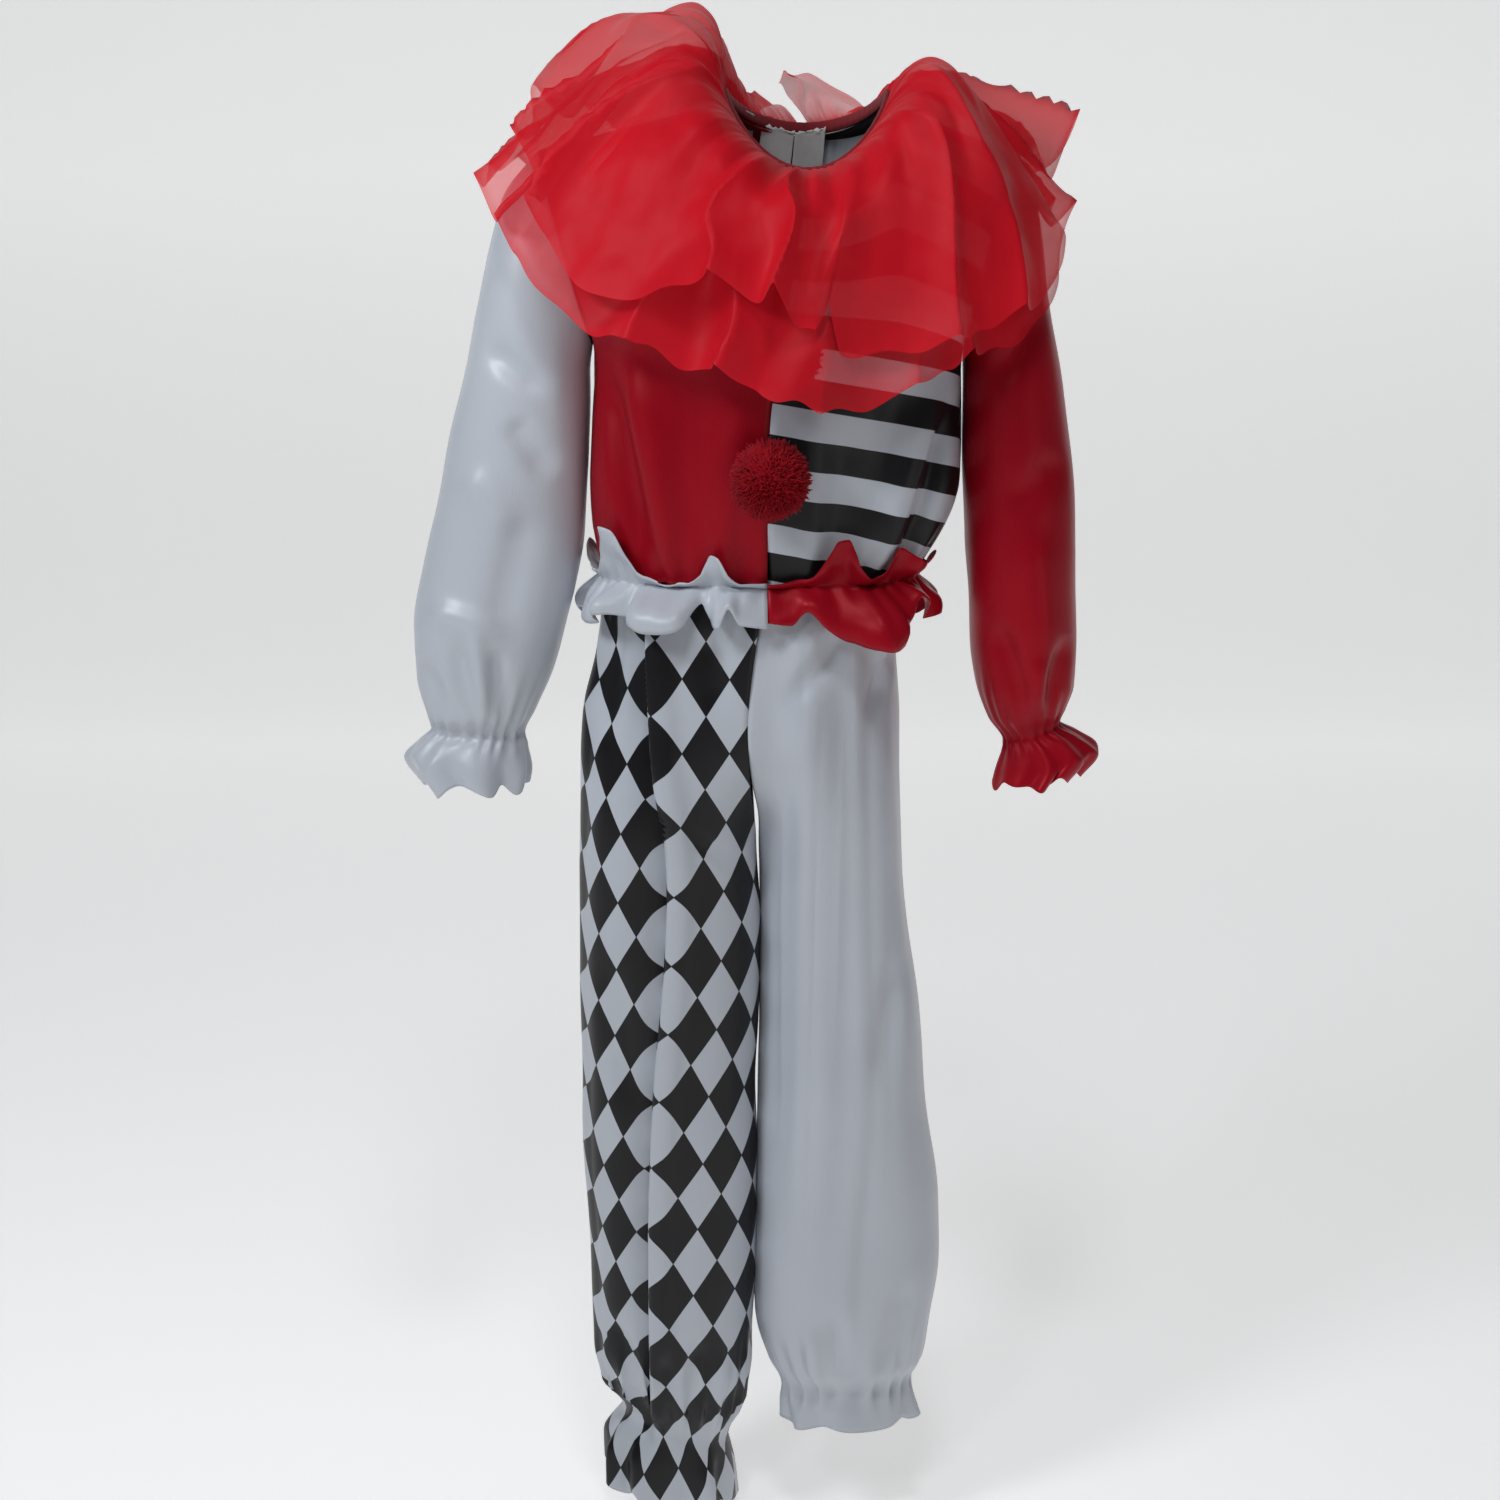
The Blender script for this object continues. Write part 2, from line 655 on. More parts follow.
def organza(name, colour, cover):
    """Sheer crisp cloth: each layer lets light through, less where it is seen edge on."""
    finish = Finish(name, Sheen_Weight=0.05, Sheen_Roughness=0.3, Roughness=0.5, Specular_IOR_Level=0.16)
    _, _, place = finish.flat()
    threads = finish.grain(place, 1800.0, 1.0)
    cloud = finish.grain(finish.objects(), 30.0, 2.0)
    packed = finish.node("ShaderNodeUVMap", {"uv_map": "dense"})
    dense = finish.node("ShaderNodeSeparateXYZ", values={0: packed})
    deep = rgb([colour[0] * 0.62, colour[1] * 0.4, colour[2] * 0.55])
    finish.set("Base Color", finish.mix(dense * 0.6 + cloud * 0.3, rgb(colour), deep))
    finish.set("Alpha", cover + dense * (0.97 - cover) + (threads - 0.5) * 0.1)
    finish.bump(threads, 0.15, 0.0003)
    return finish.material


def yarn(name, colour, deep):
    finish = Finish(name, Sheen_Weight=0.05, Sheen_Roughness=0.6, Roughness=0.85, Specular_IOR_Level=0.1)
    cloud = finish.grain(finish.objects(), 260.0, 3.0, 0.7)
    finish.set("Base Color", finish.mix(cloud, rgb(colour), rgb(deep)))
    finish.bump(cloud, 0.5, 0.001)
    return finish.material


def plain_cloth(name, colour, rough=0.75, weave=700.0):
    finish = Finish(name, Sheen_Weight=0.15, Roughness=rough)
    _, _, place = finish.flat()
    threads = finish.node(
        "ShaderNodeTexWave", {"wave_profile": "SIN"}, {"Vector": place, "Scale": weave, "Distortion": 1.5},
    )
    cloud = finish.grain(place, 120.0, 3.0)
    finish.set("Base Color", finish.mix(cloud, rgb(colour), rgb(darker(colour, 0.8))))
    finish.bump(threads + cloud, 0.4, 0.0004)
    return finish.material


def stage_paint(name, colour):
    finish = Finish(name, Roughness=0.9, Specular_IOR_Level=0.1, Emission_Strength=0.5)
    finish.set("Emission Color", rgb(colour))
    cloud = finish.grain(finish.objects(), 3.0, 2.0)
    finish.set("Base Color", finish.mix(cloud, rgb(colour), rgb(darker(colour, 0.985))))
    return finish.material


def finish_named(name, maker, *values):
    """A finish several pieces share, made once; its own name keeps it apart from the frame's plain one."""
    own = name + "_finish"
    return bpy.data.materials.get(own) or maker(own, *values)


# ---------- settings ----------

def colour_property(name, description, default):
    return bpy.props.FloatVectorProperty(
        name=name, description=description, default=default, subtype="COLOR", size=3, min=0, max=1,
    )


def length_property(name, description, default):
    return bpy.props.FloatProperty(name=name, description=description, default=default, min=0, unit="LENGTH")


class CostumeColours(bpy.types.PropertyGroup):
    red: colour_property("Red satin", "Colour of the red satin", (0.36, 0.003, 0.013))
    white: colour_property("White satin", "Colour of the white satin", (0.54, 0.57, 0.63))
    black: colour_property("Black", "Black of the stripes and diamonds", (0.006, 0.0055, 0.007))
    organza: colour_property("Organza", "Colour of the sheer collar", (0.80, 0.008, 0.022))
    pompom: colour_property("Pompoms", "Colour of the pompoms", (0.44, 0.002, 0.012))
    binding: colour_property("Neck binding", "Colour of the neck binding", (0.24, 0.004, 0.012))


class CostumeSizes(bpy.types.PropertyGroup):
    satin: length_property("Satin", "Thickness of the satin shells", 0.8 * MM)
    stripe: length_property("Stripe", "Width of one stripe", 18.8 * MM)
    diamond_width: length_property("Diamond width", "Width of one diamond", 30.8 * MM)
    diamond_height: length_property("Diamond height", "Height of one diamond", 49 * MM)


def colours():
    return bpy.context.scene.costume_colours


def sizes():
    return bpy.context.scene.costume_sizes


RED_GLINT = (1.0, 0.16, 0.18)


def red_satin():
    red = colours().red
    return finish_named("red_satin", satin, red, darker(red, 0.72), RED_GLINT, 0.5, 0.06)


def white_satin():
    white = colours().white
    return finish_named("white_satin", satin, white, darker(white, 0.88))


# ---------- pieces ----------

STRIPE_SLOPE = 0.165
STRIPE_START = -5.1
BACK_STRIPE_SHIFT = 18.8
KINK_PASSES = 18


def body_panel(name, side, face, material, creases):
    across, rows = grid_of("panel")
    height = np.where(rows < 0.5, 2 * rows - 1, 1 - (2 - 2 * rows) ** 1.5)
    points = panel_point(side, face, across, height)
    for _ in range(KINK_PASSES):
        points[1:-1, :-1] = (points[:-2, :-1] + 2 * points[1:-1, :-1] + points[2:, :-1]) / 4
    out = normals_of(points) * (side * -face)
    waist = hump(points[..., 2], WAIST_Z, 26) * (points[..., 2] < CHEST_Z)
    pucker = 1.5 * waist * uneven_wave(across * 0.25, 36, side + 2 * face)
    wander = 1.6 * soft_noise(points, 62, side + 3 * face) * np.clip(np.sin(np.pi * rows), 0, 1) ** 0.5
    field = crease_field(points, creases, face)
    points = points + out * (pucker + wander + field)[..., None]
    points[..., 0] += side * np.where(across < 0.02, -CENTRE_LAP if face > 0 else 0, HALF_SEAM)
    points[..., 1] += face * HALF_SEAM
    walked = run_along(points, 1)
    rise = run_along(points, 0)[:, :1] + 0 * walked + (BACK_STRIPE_SHIFT if face > 0 else 0)
    flat = np.stack([walked, rise], axis=-1)
    return add_sheet(
        name, points, flat, material,
        thick=sizes().satin / MM, outward=side * -face,
    )


WRIST_ROW = 9


def sleeve(name, side, rows, material, creases, seed):
    rings = ring_table(rows)
    turns, share = grid_of("sleeve")
    walked = share * rings.key[-1]
    ring = {key: rings.read(key, walked) for key in ("in_x", "in_z", "out_x", "out_z", "half", "wave")}
    gather = rings.key[WRIST_ROW]
    ripple = 1 + ring["wave"] / 62 * uneven_wave(turns, 7, seed)
    crimp = hump(walked, gather, 9) * 0.055 + hump(walked, gather - 14, 22) * 0.022
    ripple = ripple + crimp * uneven_wave(turns, 19, seed + 2)
    angle = 2 * math.pi * turns
    middle_x, middle_z = (ring["in_x"] + ring["out_x"]) / 2, (ring["in_z"] + ring["out_z"]) / 2
    reach_x, reach_z = (ring["out_x"] - ring["in_x"]) / 2, (ring["out_z"] - ring["in_z"]) / 2
    away = np.cos(angle) * ripple
    hem = ring["wave"] * 0.6 * uneven_wave(turns, 7, seed + 1)
    depth = -ring["half"] * np.sin(angle) * ripple
    points = point(middle_x + reach_x * away, depth, middle_z + reach_z * away - hem)
    out = normals_of(points) * side
    fade = smooth(share / 0.12) * smooth((gather - walked) / 40)
    wander = 1.8 * soft_noise(points, 58, seed) * fade
    field = (crease_field(points, creases, -1) + crease_field(points, creases, 1) * 0.7) * fade
    points = points + out * (wander + field)[..., None]
    points[:, -1] = points[:, 0]
    points[..., 0] += side * 0.5
    width = run_along(points, 1)[:, -1:]
    broad = np.median(width[60:120])
    width = np.where(walked[:, :1] > gather - 50, np.maximum(width, broad * 0.96), width)
    length = run_along(points, 0).mean(axis=1, keepdims=True)
    flat = np.stack([(turns - 0.5) * width, length + 0 * turns], axis=-1)
    return add_sheet(
        name, points, flat, material,
        thick=sizes().satin / MM, outward=side, merge=CLOSED,
    )


# The long fold: FOLD_FULL is the depth these reaches hold for, FOLD_EDGE how wide its crisp edge is.
FOLD_FULL = 15
FOLD_EDGE = 3.5
FOLD_REACH = {"depth": 38, "slip": 10, "hidden": 17}
LEG_FINE = {"at": 0.27, "spread": 0.09, "more": 2.4}
ANKLE_GATHER = {"leg_harlequin": -892, "leg_white": -886}
DIAMOND_CORNER = -382.6


def leg(name, side, levels, fold_line, thread_line, material, creases, seed, lap, crisp):
    """lap says which way the long fold laps, crisp how sharp and how deep it is."""
    bottom = levels.key[0]
    turns, share = grid_of("leg")
    spacing = np.cumsum(1 / (1 + LEG_FINE["more"] * hump(turns[0], LEG_FINE["at"], LEG_FINE["spread"])))
    turns = turns * 0 + (spacing - spacing[0]) / (spacing[-1] - spacing[0])
    z = WAIST_Z + (bottom - WAIST_Z) * share
    level = {key: levels.read(key, z) for key in levels.columns if key != "z"}
    limit = 90 + 90 * smooth((RISE_START_Z - z) / (RISE_START_Z - CROTCH_Z))
    reach = (level["side"] - level["inner"]) / (1 - boxy(np.cos(np.radians(limit))))
    middle = level["side"] - reach
    angle = np.radians(limit * (1 - 2 * turns))
    depth = np.where(angle > 0, level["front"], level["back"])
    gather = ANKLE_GATHER[name]
    crimp = hump(z, gather, 8) * 0.06 + hump(z, gather + 16, 24) * 0.024
    ripple = 1 + level["wave"] / 58 * uneven_wave(turns, 7, seed) + crimp * uneven_wave(turns, 21, seed + 2)
    x = middle + reach * boxy(np.cos(angle)) * ripple
    y = -depth * boxy(np.sin(angle)) * ripple
    inward = (x - level["side"]) / (level["inner"] - level["side"])
    hem = level["wave"] * 0.5 * uneven_wave(turns, 7, seed + 1)
    points = point(x, y, z - level["tilt"] * inward - hem)
    out = normals_of(points) * -side
    walked = run_along(points, 1)
    past = (fold_line.read("x", z) - x) * lap
    front = smooth(np.sin(angle) * 3)
    deep = level["fold"] * crisp
    step = smooth((past + 7 - 6 * crisp) / (18 - 11 * crisp))
    hollow = 1.35 * deep * step * np.exp(-np.maximum(past, 0) / FOLD_REACH["depth"])
    lip = 0.35 * deep * hump(past, -5, 8)
    points = points - out * ((hollow - lip) * front)[..., None]
    slide = deep / FOLD_FULL * (10 * hump(past, 9, 5) - 5.5 * hump(past, 0, 5)) * front * crisp
    points[..., 0] += lap * slide
    fade = smooth(share / 0.05) * smooth((z - gather) / 40)
    wander = 1.7 * soft_noise(points, 66, seed) * fade
    field = (crease_field(points, creases, -1) + crease_field(points, creases, 1)) * fade
    field = field * smooth(np.abs(np.sin(angle)) * 1.5)
    waist = 1.6 * hump(z, WAIST_Z, 22) * uneven_wave(turns * 0.5, 44, seed)
    points = points + out * (wander + field + waist)[..., None]
    points[..., 0] += side * HALF_SEAM
    thread = thread_line.read("x", z[:, 0])
    for row in range(points.shape[0]):
        near = np.arange(points.shape[1] // 2)
        xs = x[row, near] * side
        walked[row] -= np.interp(thread[row] * side, xs, walked[row, near])
    hidden = np.where(angle > 0, smooth(past / FOLD_EDGE), 1.0)
    walked = walked + FOLD_REACH["hidden"] * deep / FOLD_FULL * hidden * (lap > 0)
    width = walked[:, -1:] - walked[:, :1]
    broad = np.median(width[70:120])
    scale = np.where(z[:, :1] < gather + 45, np.maximum(1, broad * 0.97 / width), 1.0)
    slip = FOLD_REACH["slip"] * level["fold"] / FOLD_FULL * smooth(past / FOLD_EDGE) * front * (lap > 0)
    down = z - level["tilt"] * inward * smooth((gather + 60 - z) / 60) + slip
    flat = np.stack([walked * scale, down - DIAMOND_CORNER * (lap > 0)], axis=-1)
    return add_sheet(
        name, points, flat, material,
        thick=sizes().satin / MM, outward=-side, merge=CLOSED,
    )


FRILL_CLEAR = 3.2
FRILL_SEAM = 0.42
FRILL_FULLNESS = 1.35


def frill(name, side, folds, material, seed):
    around, rows = grid_of("frill")
    turn = 180 * around
    rise, drop = folds.read("rise", turn), folds.read("drop", turn)
    top_out, low_out = folds.read("top_out", turn), folds.read("low_out", turn)
    above = (rows - FRILL_SEAM) / (1 - FRILL_SEAM)
    upper = smooth(above) ** 0.9
    lower = np.clip((FRILL_SEAM - rows) / FRILL_SEAM, 0, 1)
    lift = rise * np.clip(above, 0, 1) - drop * lower
    flute = 3.4 * uneven_wave(around * 0.5, 17, seed + 4) * (lower + 0.5 * upper)
    out = top_out * upper + low_out * np.sin(lower * math.pi * 0.6) + flute
    crimp = uneven_wave(around * 0.5, 46, seed) * (0.25 + 0.95 * hump(rows, FRILL_SEAM, 0.16))
    points = trunk_point(np.full_like(turn, WAIST_Z), side * turn, FRILL_CLEAR + out + crimp)
    points[..., 2] += lift + 0.4 * crimp
    ruffle = -side * 4.2 * soft_noise(points, 15, seed) * np.abs(rows - FRILL_SEAM) * 2
    points = points + normals_of(points) * ruffle[..., None]
    points[..., 0] += side * HALF_SEAM * 2
    walked = run_along(points, 1)[10:12].mean(axis=0) * FRILL_FULLNESS
    height = run_along(points, 0)
    flat = np.stack([walked + 0 * height, height], axis=-1)
    return add_sheet(
        name, points, flat, material,
        thick=sizes().satin / MM, outward=-side,
    )


PLEATS = Table(
    "turn share",
    (-180, 0), (-120, 0.15), (-60, 0.33), (-20, 0.46), (20, 0.56), (70, 0.7), (120, 0.84), (180, 1),
)
COLLAR_PLEATS = 11
COLLAR_CREST = 0.45
# The stated cut's length as a share of the rim's, which is an assumption.
COLLAR_CUT = 0.80


def collar(name, layer, start_out, start_lift, material, seed, reach):
    around, s = grid_of("collar")
    turn = BACK_TURN * (2 * around - 1)
    neck = neck_point(turn, start_out, start_lift)
    crest = np.stack([layer.read(key, turn) for key in ("crest_x", "crest_y", "crest_z")], axis=-1)
    rim = np.stack([layer.read(key, turn) for key in ("rim_x", "rim_y", "rim_z")], axis=-1)
    k = COLLAR_CREST
    s3 = s[..., None]
    points = neck * ((s3 - k) * (s3 - 1)) / k
    points = points + crest * (s3 * (s3 - 1)) / (k * (k - 1)) + rim * (s3 * (s3 - k)) / (1 - k)
    out = normals_of(points) * -1
    share = PLEATS.read("share", turn)
    wander = 0.35 * np.sin(share * 37 + seed) + 0.12 * np.sin(9 * s + share * 60)
    broad = 1 - 2 * np.abs(np.sin(math.pi * (share * COLLAR_PLEATS + wander + seed * 0.37))) ** 0.8
    size = 0.7 + 0.3 * np.sin(share * 23 + seed * 1.9)
    narrow = uneven_wave(share, 31, seed + 3)
    tiny = uneven_wave(share, 83, seed + 5)
    grow = s ** 1.1
    push = reach * grow * size * broad + 1.5 * np.sin(math.pi * np.clip(s * 1.3, 0, 1)) * narrow
    push = push + 0.8 * np.exp(-s * 6) * tiny
    crumple = 3.2 * soft_noise(points, 34, seed) + 0.8 * soft_noise(points, 13, seed + 1)
    push = push + crumple * smooth(s * 2.2)
    points = points + out * push[..., None]
    lift = 0.55 * reach * smooth((s - 0.5) / 0.5) * size * broad + 2.2 * smooth((s - 0.8) / 0.2) * narrow
    points[..., 2] += lift
    stride = np.linalg.norm(np.gradient(points, axis=1), axis=-1)
    slope = np.abs(np.gradient(push, axis=1)) / np.maximum(stride, 0.2)
    line = 0.5 * ((1 + broad) / 2) ** 7 * s + 0.3 * ((1 - broad) / 2) ** 9 * s
    gathers = (0.75 + 0.5 * np.abs(tiny)) * np.exp(-s * 4.5)
    dense = np.clip(0.32 * slope + line + gathers + 0.3 * (s > 0.985), 0, 1)
    length = run_along(points, 0)
    walked = run_along(points, 1)
    full = walked[-1] / walked[-1, -1]
    width = walked[:, -1:].max()
    flat = np.stack([full[None, :] * width * (COLLAR_CUT + 0 * length), length], axis=-1)
    return add_sheet(name, points, flat, material, outward=-1, dense=dense)


def neck_binding(material):
    around, s = grid_of("binding")
    turn = BINDING_TURN * (2 * around - 1)
    fold = np.pi * s
    out = 0.55 + 0.95 * np.cos(fold)
    lift = 0.6 + 7.4 * np.sin(fold) ** 0.45
    crimp = 0.25 * uneven_wave(around, 60, 1)
    points = neck_point(turn, out + crimp, lift + 0.3 * crimp)
    flat = np.stack([run_along(points, 1).mean(axis=0) + 0 * s, run_along(points, 0)], axis=-1)
    return add_sheet(
        "neck_binding", points, flat, material,
        thick=BINDING_THICK, outward=-1,
    )


def inside_patch(name, side, across_range, height_range, material, inset, lift, fray=0, shift=0):
    """A small flat piece on the inside of a back half."""
    s, t = grid_of("patch")
    across = across_range[0] + (across_range[1] - across_range[0]) * s
    height = height_range[0] + (height_range[1] - height_range[0]) * t
    points = panel_point(side, 1, across, height)
    points[..., 1] -= inset
    points[..., 1] += 0.5 * soft_noise(points, 14, 3)
    points[..., 0] += shift
    points[..., 1] -= 0.8 * lift * smooth((t - 0.2) / 0.8)
    points[..., 2] += lift * smooth((t - 0.2) / 0.8)
    if fray:
        points[..., 2] += fray * smooth((t - 0.93) / 0.07) * soft_noise(points, 2.2, 5)
    flat = np.stack([run_along(points, 1), run_along(points, 0)], axis=-1)
    return add_sheet(name, points, flat, material, thick=PATCH_THICK, outward=-side)


def pompom(name, material, seed):
    """A ball of cut yarn: every small face of a ball is drawn out to a tuft of its own length."""
    lowest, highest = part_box(name)
    centre = (Vector(lowest) + Vector(highest)) / 2
    half = (Vector(highest) - Vector(lowest)) / 2
    mesh = bpy.data.meshes.new(name)
    bm = bmesh.new()
    bmesh.ops.create_icosphere(bm, subdivisions=5, radius=1.0)
    made = bmesh.ops.extrude_discrete_faces(bm, faces=bm.faces[:])
    for face in made["faces"]:
        middle = face.calc_center_median()
        seen = noise.random_unit_vector() * 0.13
        length = 0.16 + 0.16 * noise.noise(middle * 9 + Vector((seed, 0, 0))) + 0.05 * seen.x
        for v in face.verts:
            v.co = middle + (v.co - middle) * 0.35 + middle.normalized() * length + seen * 0.8
    for face in bm.faces:
        face.smooth = True
    for v in bm.verts:
        v.co = Vector((v.co.x * half.x, v.co.y * half.y, v.co.z * half.z)) * 0.86 + centre
    bm.to_mesh(mesh)
    bm.free()
    piece = placed(name, mesh, material)
    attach(piece, BODY)
    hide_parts(name)
    return piece


# ---------- creases ----------
# Each one's start x and z, end x and z, width, and height (minus is a trough).

FRONT_RED_CREASES = (
    (-122, -170, -98, -280, 7, -5.0),
    (-104, -160, -84, -292, 9, 3.0),
    (-70, -150, -66, -285, 12, -2.4),
    (-38, -190, -60, -295, 10, 2.0),
)
FRONT_STRIPED_CREASES = (
    (96, -190, 66, -298, 6, -6.0),
    (84, -180, 50, -296, 9, 3.2),
    (30, -200, 26, -292, 10, -3.2),
    (8, -185, 4, -290, 8, 2.2),
    (62, -170, 40, -260, 9, -2.0),
)
BACK_RED_CREASES = (
    (-110, -150, -80, -290, 9, -4.0),
    (-60, -120, -50, -280, 12, 2.6),
    (-30, -170, -44, -295, 8, -2.4),
)
BACK_STRIPED_CREASES = (
    (80, -150, 56, -290, 9, -4.0),
    (40, -120, 30, -280, 11, 2.6),
    (4, -170, 16, -295, 8, -2.4),
)
SLEEVE_WHITE_CREASES = (
    (-196, -150, -160, -176, 8, -2.6),
    (-182, -196, -158, -228, 9, -3.0),
    (-212, -230, -184, -262, 11, 2.2),
    (-176, -260, -196, -330, 10, -2.4),
    (-238, -318, -190, -330, 9, 3.2),
    (-246, -352, -232, -388, 6, -3.0),
    (-222, -340, -214, -394, 6, -2.8),
    (-196, -346, -198, -396, 6, -3.0),
    (-210, -330, -204, -392, 5, 2.4),
)
SLEEVE_RED_CREASES = (
    (150, -130, 124, -170, 9, -2.6),
    (166, -220, 136, -250, 10, -2.2),
    (150, -270, 160, -350, 11, 2.2),
    (130, -330, 150, -390, 7, -3.0),
    (174, -340, 166, -388, 6, -3.2),
    (158, -350, 156, -394, 5, 2.2),
)
LEG_HARLEQUIN_CREASES = (
    (-122, -330, -128, -400, 7, -3.4),
    (-60, -330, -52, -380, 8, -1.8),
    (-126, -560, -118, -660, 10, -2.2),
    (-52, -470, -60, -480, 16, -1.2),
    (-128, -830, -112, -900, 7, -3.2),
    (-66, -840, -76, -912, 7, -3.0),
    (-48, -860, -60, -922, 5, 2.4),
    (-92, -850, -92, -916, 6, -2.6),
)
LEG_WHITE_CREASES = (
    (30, -330, -6, -372, 8, -3.6),
    (4, -320, 0, -420, 11, 2.8),
    (-14, -390, -12, -720, 15, -3.6),
    (14, -350, 8, -800, 13, 2.4),
    (30, -380, 26, -640, 12, -2.4),
    (60, -400, 66, -760, 16, 1.8),
    (50, -322, 66, -372, 6, 4.0),
    (66, -330, 48, -384, 6, -3.6),
    (66, -560, 58, -640, 8, -2.4),
    (80, -800, 64, -876, 9, -3.0),
    (30, -820, 34, -884, 7, -3.0),
    (12, -830, 14, -884, 6, 2.6),
)


# ---------- operators ----------

class PieceOperator(bpy.types.Operator):
    bl_options = {"REGISTER", "UNDO"}

    def execute(self, context):
        self.build()
        return {"FINISHED"}


class MakeBodice(PieceOperator):
    """Make the four body panels, red and striped"""

    bl_idname = "costume.bodice"
    bl_label = "Bodice"

    def build(self):
        tint, size = colours(), sizes()
        red = red_satin()
        striped = striped_satin(
            "striped_satin", tint.white, tint.black, size.stripe / MM, STRIPE_SLOPE, STRIPE_START,
        )
        body_panel("bodice_front_red", -1, -1, red, FRONT_RED_CREASES)
        body_panel("bodice_front_striped", 1, -1, striped, FRONT_STRIPED_CREASES)
        body_panel("bodice_back_red", -1, 1, red, BACK_RED_CREASES)
        body_panel("bodice_back_striped", 1, 1, striped, BACK_STRIPED_CREASES)


class MakeSleeves(PieceOperator):
    """Make the white sleeve and the red sleeve, each with its gathered wrist"""

    bl_idname = "costume.sleeves"
    bl_label = "Sleeves"

    def build(self):
        sleeve("sleeve_white", -1, SLEEVE_WHITE, white_satin(), SLEEVE_WHITE_CREASES, 1)
        sleeve("sleeve_red", 1, SLEEVE_RED, red_satin(), SLEEVE_RED_CREASES, 4)


class MakeLegs(PieceOperator):
    """Make the harlequin leg and the white leg, each with its gathered ankle"""

    bl_idname = "costume.legs"
    bl_label = "Legs"

    def build(self):
        tint, size = colours(), sizes()
        diamonds = harlequin_satin(
            "harlequin_satin", tint.white, tint.black, size.diamond_width / MM, size.diamond_height / MM,
        )
        leg(
            "leg_harlequin", -1, LEG_HARLEQUIN, FOLD_HARLEQUIN, THREAD_HARLEQUIN,
            diamonds, LEG_HARLEQUIN_CREASES, 2, 1, 1.0,
        )
        leg(
            "leg_white", 1, LEG_WHITE, FOLD_WHITE, THREAD_WHITE,
            white_satin(), LEG_WHITE_CREASES, 5, -1, 0.35,
        )


class MakeWaistFrill(PieceOperator):
    """Make the two halves of the gathered waist frill"""

    bl_idname = "costume.waist_frill"
    bl_label = "Waist frill"

    def build(self):
        frill("waist_frill_white", -1, FRILL_WHITE, white_satin(), 1)
        frill("waist_frill_red", 1, FRILL_RED, red_satin(), 2)


class MakeCollar(PieceOperator):
    """Make the neck binding and the two layers of the organza collar"""

    bl_idname = "costume.collar"
    bl_label = "Collar"

    def build(self):
        tint = colours()
        sheer = organza("red_organza", tint.organza, 0.6)
        neck_binding(plain_cloth("dark_red_binding", tint.binding))
        collar("collar_upper", COLLAR_UPPER, 2.6, 6.5, sheer, 1, 14)
        collar("collar_lower", COLLAR_LOWER, 4.4, 5, sheer, 2, 11)


class MakePompoms(PieceOperator):
    """Make the two yarn pompoms on the centre front"""

    bl_idname = "costume.pompoms"
    bl_label = "Pompoms"

    def build(self):
        tint = colours()
        fluff = yarn("red_yarn", tint.pompom, darker(tint.pompom, 0.45))
        noise.seed_set(11)
        pompom("pompom_upper", fluff, 1)
        pompom("pompom_lower", fluff, 2)


class MakeBackNeck(PieceOperator):
    """Make the fastening tapes and the bare size label inside the back neck"""

    bl_idname = "costume.back_neck"
    bl_label = "Back neck"

    def build(self):
        tape = plain_cloth("white_tape", (0.86, 0.84, 0.83), 0.85, 900.0)
        label = plain_cloth("label_cloth", (0.88, 0.87, 0.87), 0.7, 1200.0)
        for name, side, across, inset, lift, shift in (
            ("closure_tape_left", -1, (0.03, 0.15), 2.2, 11, 0.5),
            ("closure_tape_right", 1, (0.02, 0.13), 3.4, 10, -9),
        ):
            inside_patch(name, side, across, (0.5, 0.94), tape, inset, lift, 2.5, shift)
        inside_patch("size_label", -1, (0.2, 0.3), (0.87, 0.97), label, 2.6, 10, shift=2)


CAMERA = {"place": (-31.6, -1292.0, -119.9), "down": 13.0, "lens": 46.8}
STAGE = {"floor": -1004, "wall": 3800, "front": -3800, "half_width": 4600, "height": 4400}


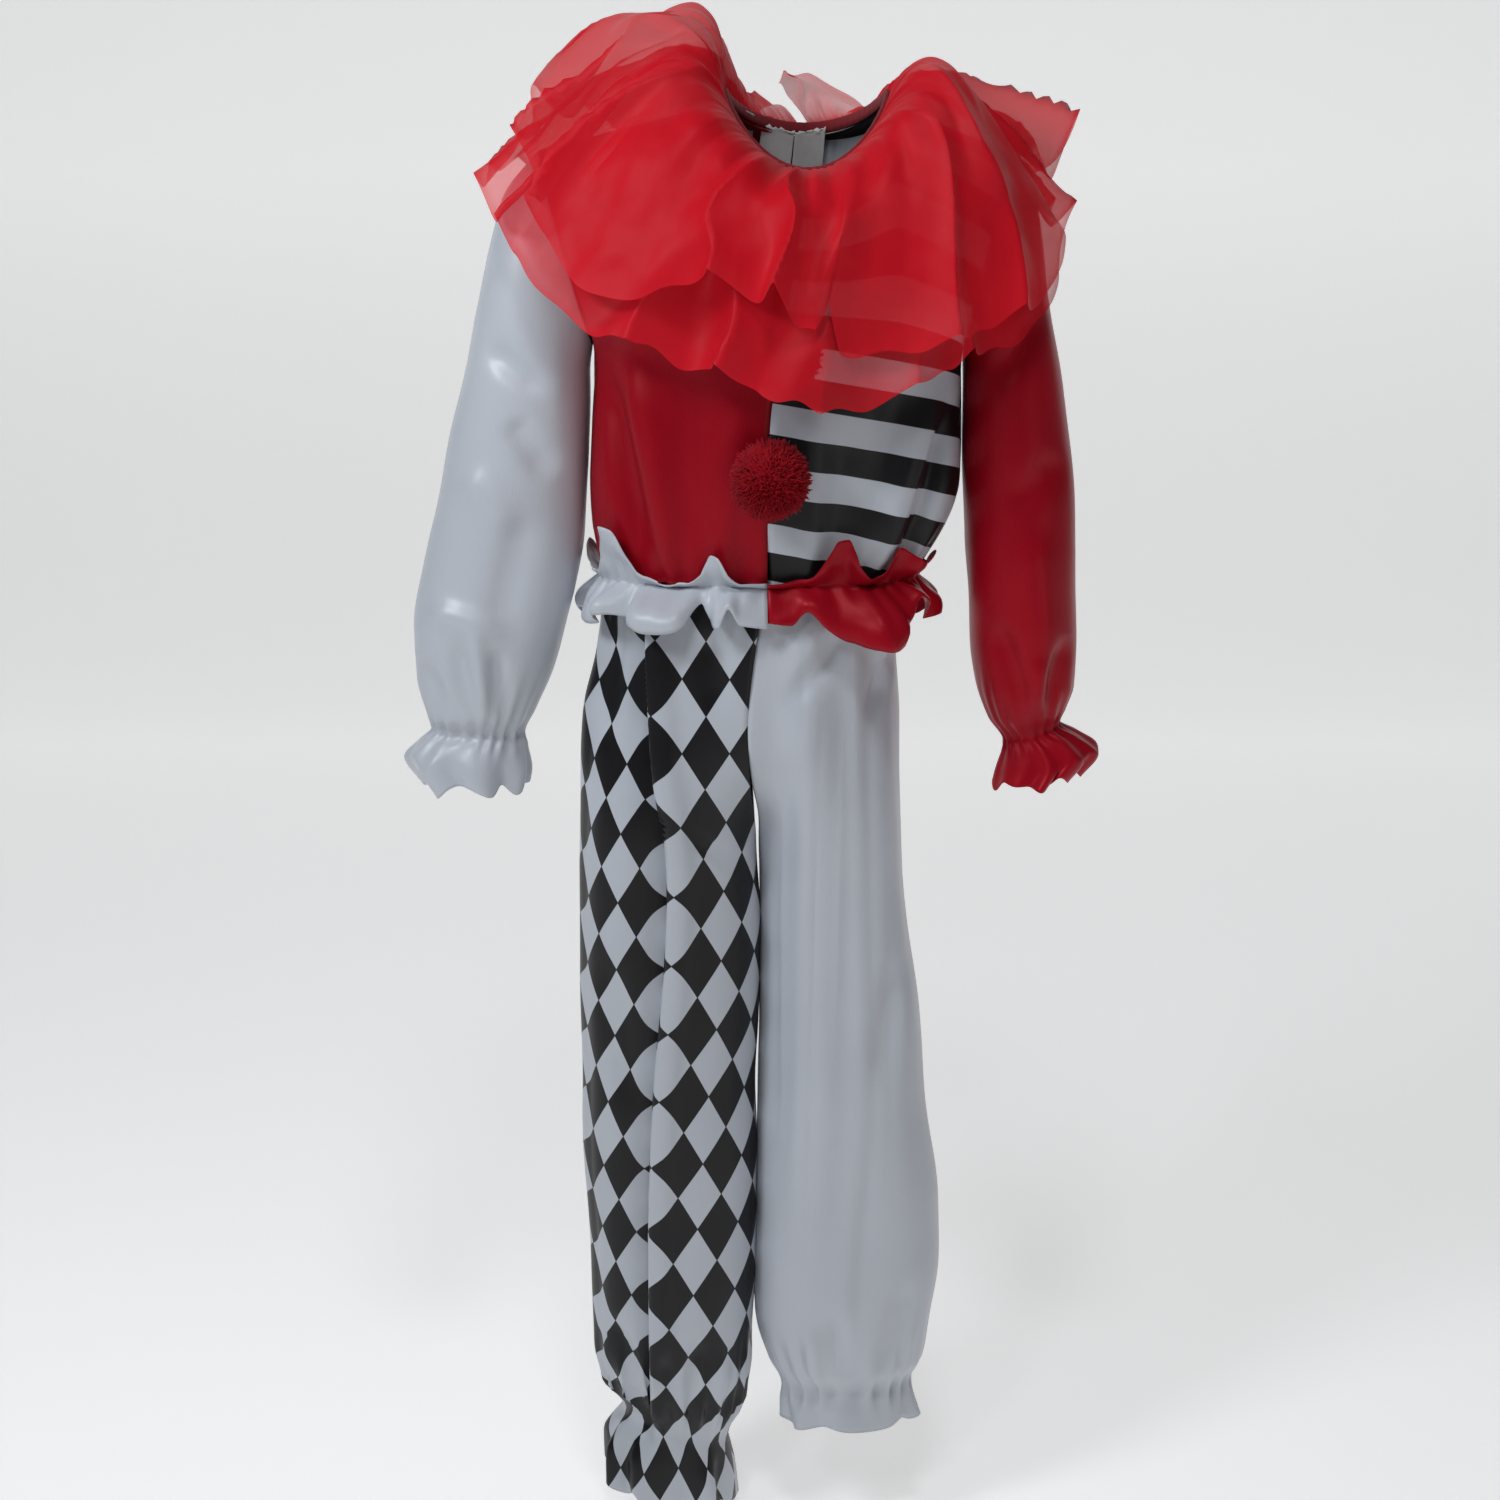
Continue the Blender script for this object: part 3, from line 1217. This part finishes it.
class SetStage(PieceOperator):
    """Make the pale floor and backdrop, the studio lights and the camera"""

    bl_idname = "costume.stage"
    bl_label = "Stage"

    def build(self):
        self.backdrop()
        self.light("key", (-900, -700, 520), 360, 7.4, (0.92, 0.97, 1.0))
        self.light("window", (-480, -1250, 520), 200, 2.0, (0.95, 0.98, 1.0))
        self.light("fill", (1300, -1300, -500), 700, 1.1, (1.0, 0.88, 0.77))
        self.light("top", (0, -820, 900), 260, 4.5, (0.95, 0.97, 1.0), (0, 20, -40))
        self.world()
        self.camera()
        bpy.context.scene.view_settings.view_transform = "Standard"

    def backdrop(self):
        mesh = bpy.data.meshes.new("backdrop")
        bm = bmesh.new()
        bmesh.ops.create_grid(bm, x_segments=1, y_segments=1, size=0.5)
        for v in bm.verts:
            x = STAGE["half_width"] * (1 if v.co.x > 0 else -1)
            y = STAGE["wall"] if v.co.y > 0 else STAGE["front"]
            v.co = Vector((x, y, STAGE["floor"])) * MM
        back = [e for e in bm.edges if all(v.co.y > 0 for v in e.verts)]
        raised = bmesh.ops.extrude_edge_only(bm, edges=back)
        top = [g for g in raised["geom"] if isinstance(g, bmesh.types.BMVert)]
        bmesh.ops.translate(bm, verts=top, vec=(0, 0, STAGE["height"] * MM))
        bmesh.ops.bevel(
            bm, geom=back, offset=1.2, offset_type="OFFSET", segments=16, profile=0.5,
            affect="EDGES", material=-1,
        )
        bmesh.ops.recalc_face_normals(bm, faces=bm.faces)
        for face in bm.faces:
            face.smooth = True
        bm.to_mesh(mesh)
        bm.free()
        placed("backdrop", mesh, stage_paint("pale_backdrop", (0.9, 0.9, 0.9)))

    def light(self, name, place, size, power, colour, aim_at=(-30, 0, -380)):
        data = bpy.data.lights.new(name, "AREA")
        data.shape = "DISK"
        data.size = size * MM
        data.energy = power
        data.color = colour
        lamp = bpy.data.objects.new(name, data)
        lamp.location = Vector(place) * MM
        aim = Vector(aim_at) * MM - lamp.location
        lamp.rotation_euler = aim.to_track_quat("-Z", "Y").to_euler()
        bpy.context.collection.objects.link(lamp)

    def world(self):
        world = bpy.data.worlds.new("studio")
        world.use_nodes = True
        shade = world.node_tree.nodes["Background"]
        shade.inputs["Color"].default_value = (0.93, 0.96, 1.0, 1.0)
        shade.inputs["Strength"].default_value = 0.1
        bpy.context.scene.world = world

    def camera(self):
        data = bpy.data.cameras.new("camera")
        data.lens = CAMERA["lens"]
        data.clip_end = 50
        eye = bpy.data.objects.new("camera", data)
        eye.location = Vector(CAMERA["place"]) * MM
        eye.rotation_euler = (math.radians(90 - CAMERA["down"]), 0, 0)
        bpy.context.collection.objects.link(eye)
        bpy.context.scene.camera = eye


OPERATORS = (
    MakeBodice, MakeSleeves, MakeLegs, MakeWaistFrill, MakeCollar, MakePompoms, MakeBackNeck, SetStage,
)


class CostumePanel(bpy.types.Panel):
    bl_idname = "VIEW3D_PT_costume"
    bl_label = "Clown Costume"
    bl_space_type = "VIEW_3D"
    bl_region_type = "UI"
    bl_category = "Costume"

    def draw(self, context):
        for group in (colours(), sizes()):
            for name in group.__annotations__:
                self.layout.prop(group, name)
        for operator in OPERATORS:
            self.layout.operator(operator.bl_idname)


CLASSES = (CostumeColours, CostumeSizes, *OPERATORS, CostumePanel)


def register():
    for cls in CLASSES:
        bpy.utils.register_class(cls)
    bpy.types.Scene.costume_colours = bpy.props.PointerProperty(type=CostumeColours)
    bpy.types.Scene.costume_sizes = bpy.props.PointerProperty(type=CostumeSizes)


def unregister():
    del bpy.types.Scene.costume_sizes
    del bpy.types.Scene.costume_colours
    for cls in reversed(CLASSES):
        bpy.utils.unregister_class(cls)


def main():
    register()
    for operator in OPERATORS:
        group, name = operator.bl_idname.split(".")
        getattr(getattr(bpy.ops, group), name)()


if __name__ == "__main__":
    main()
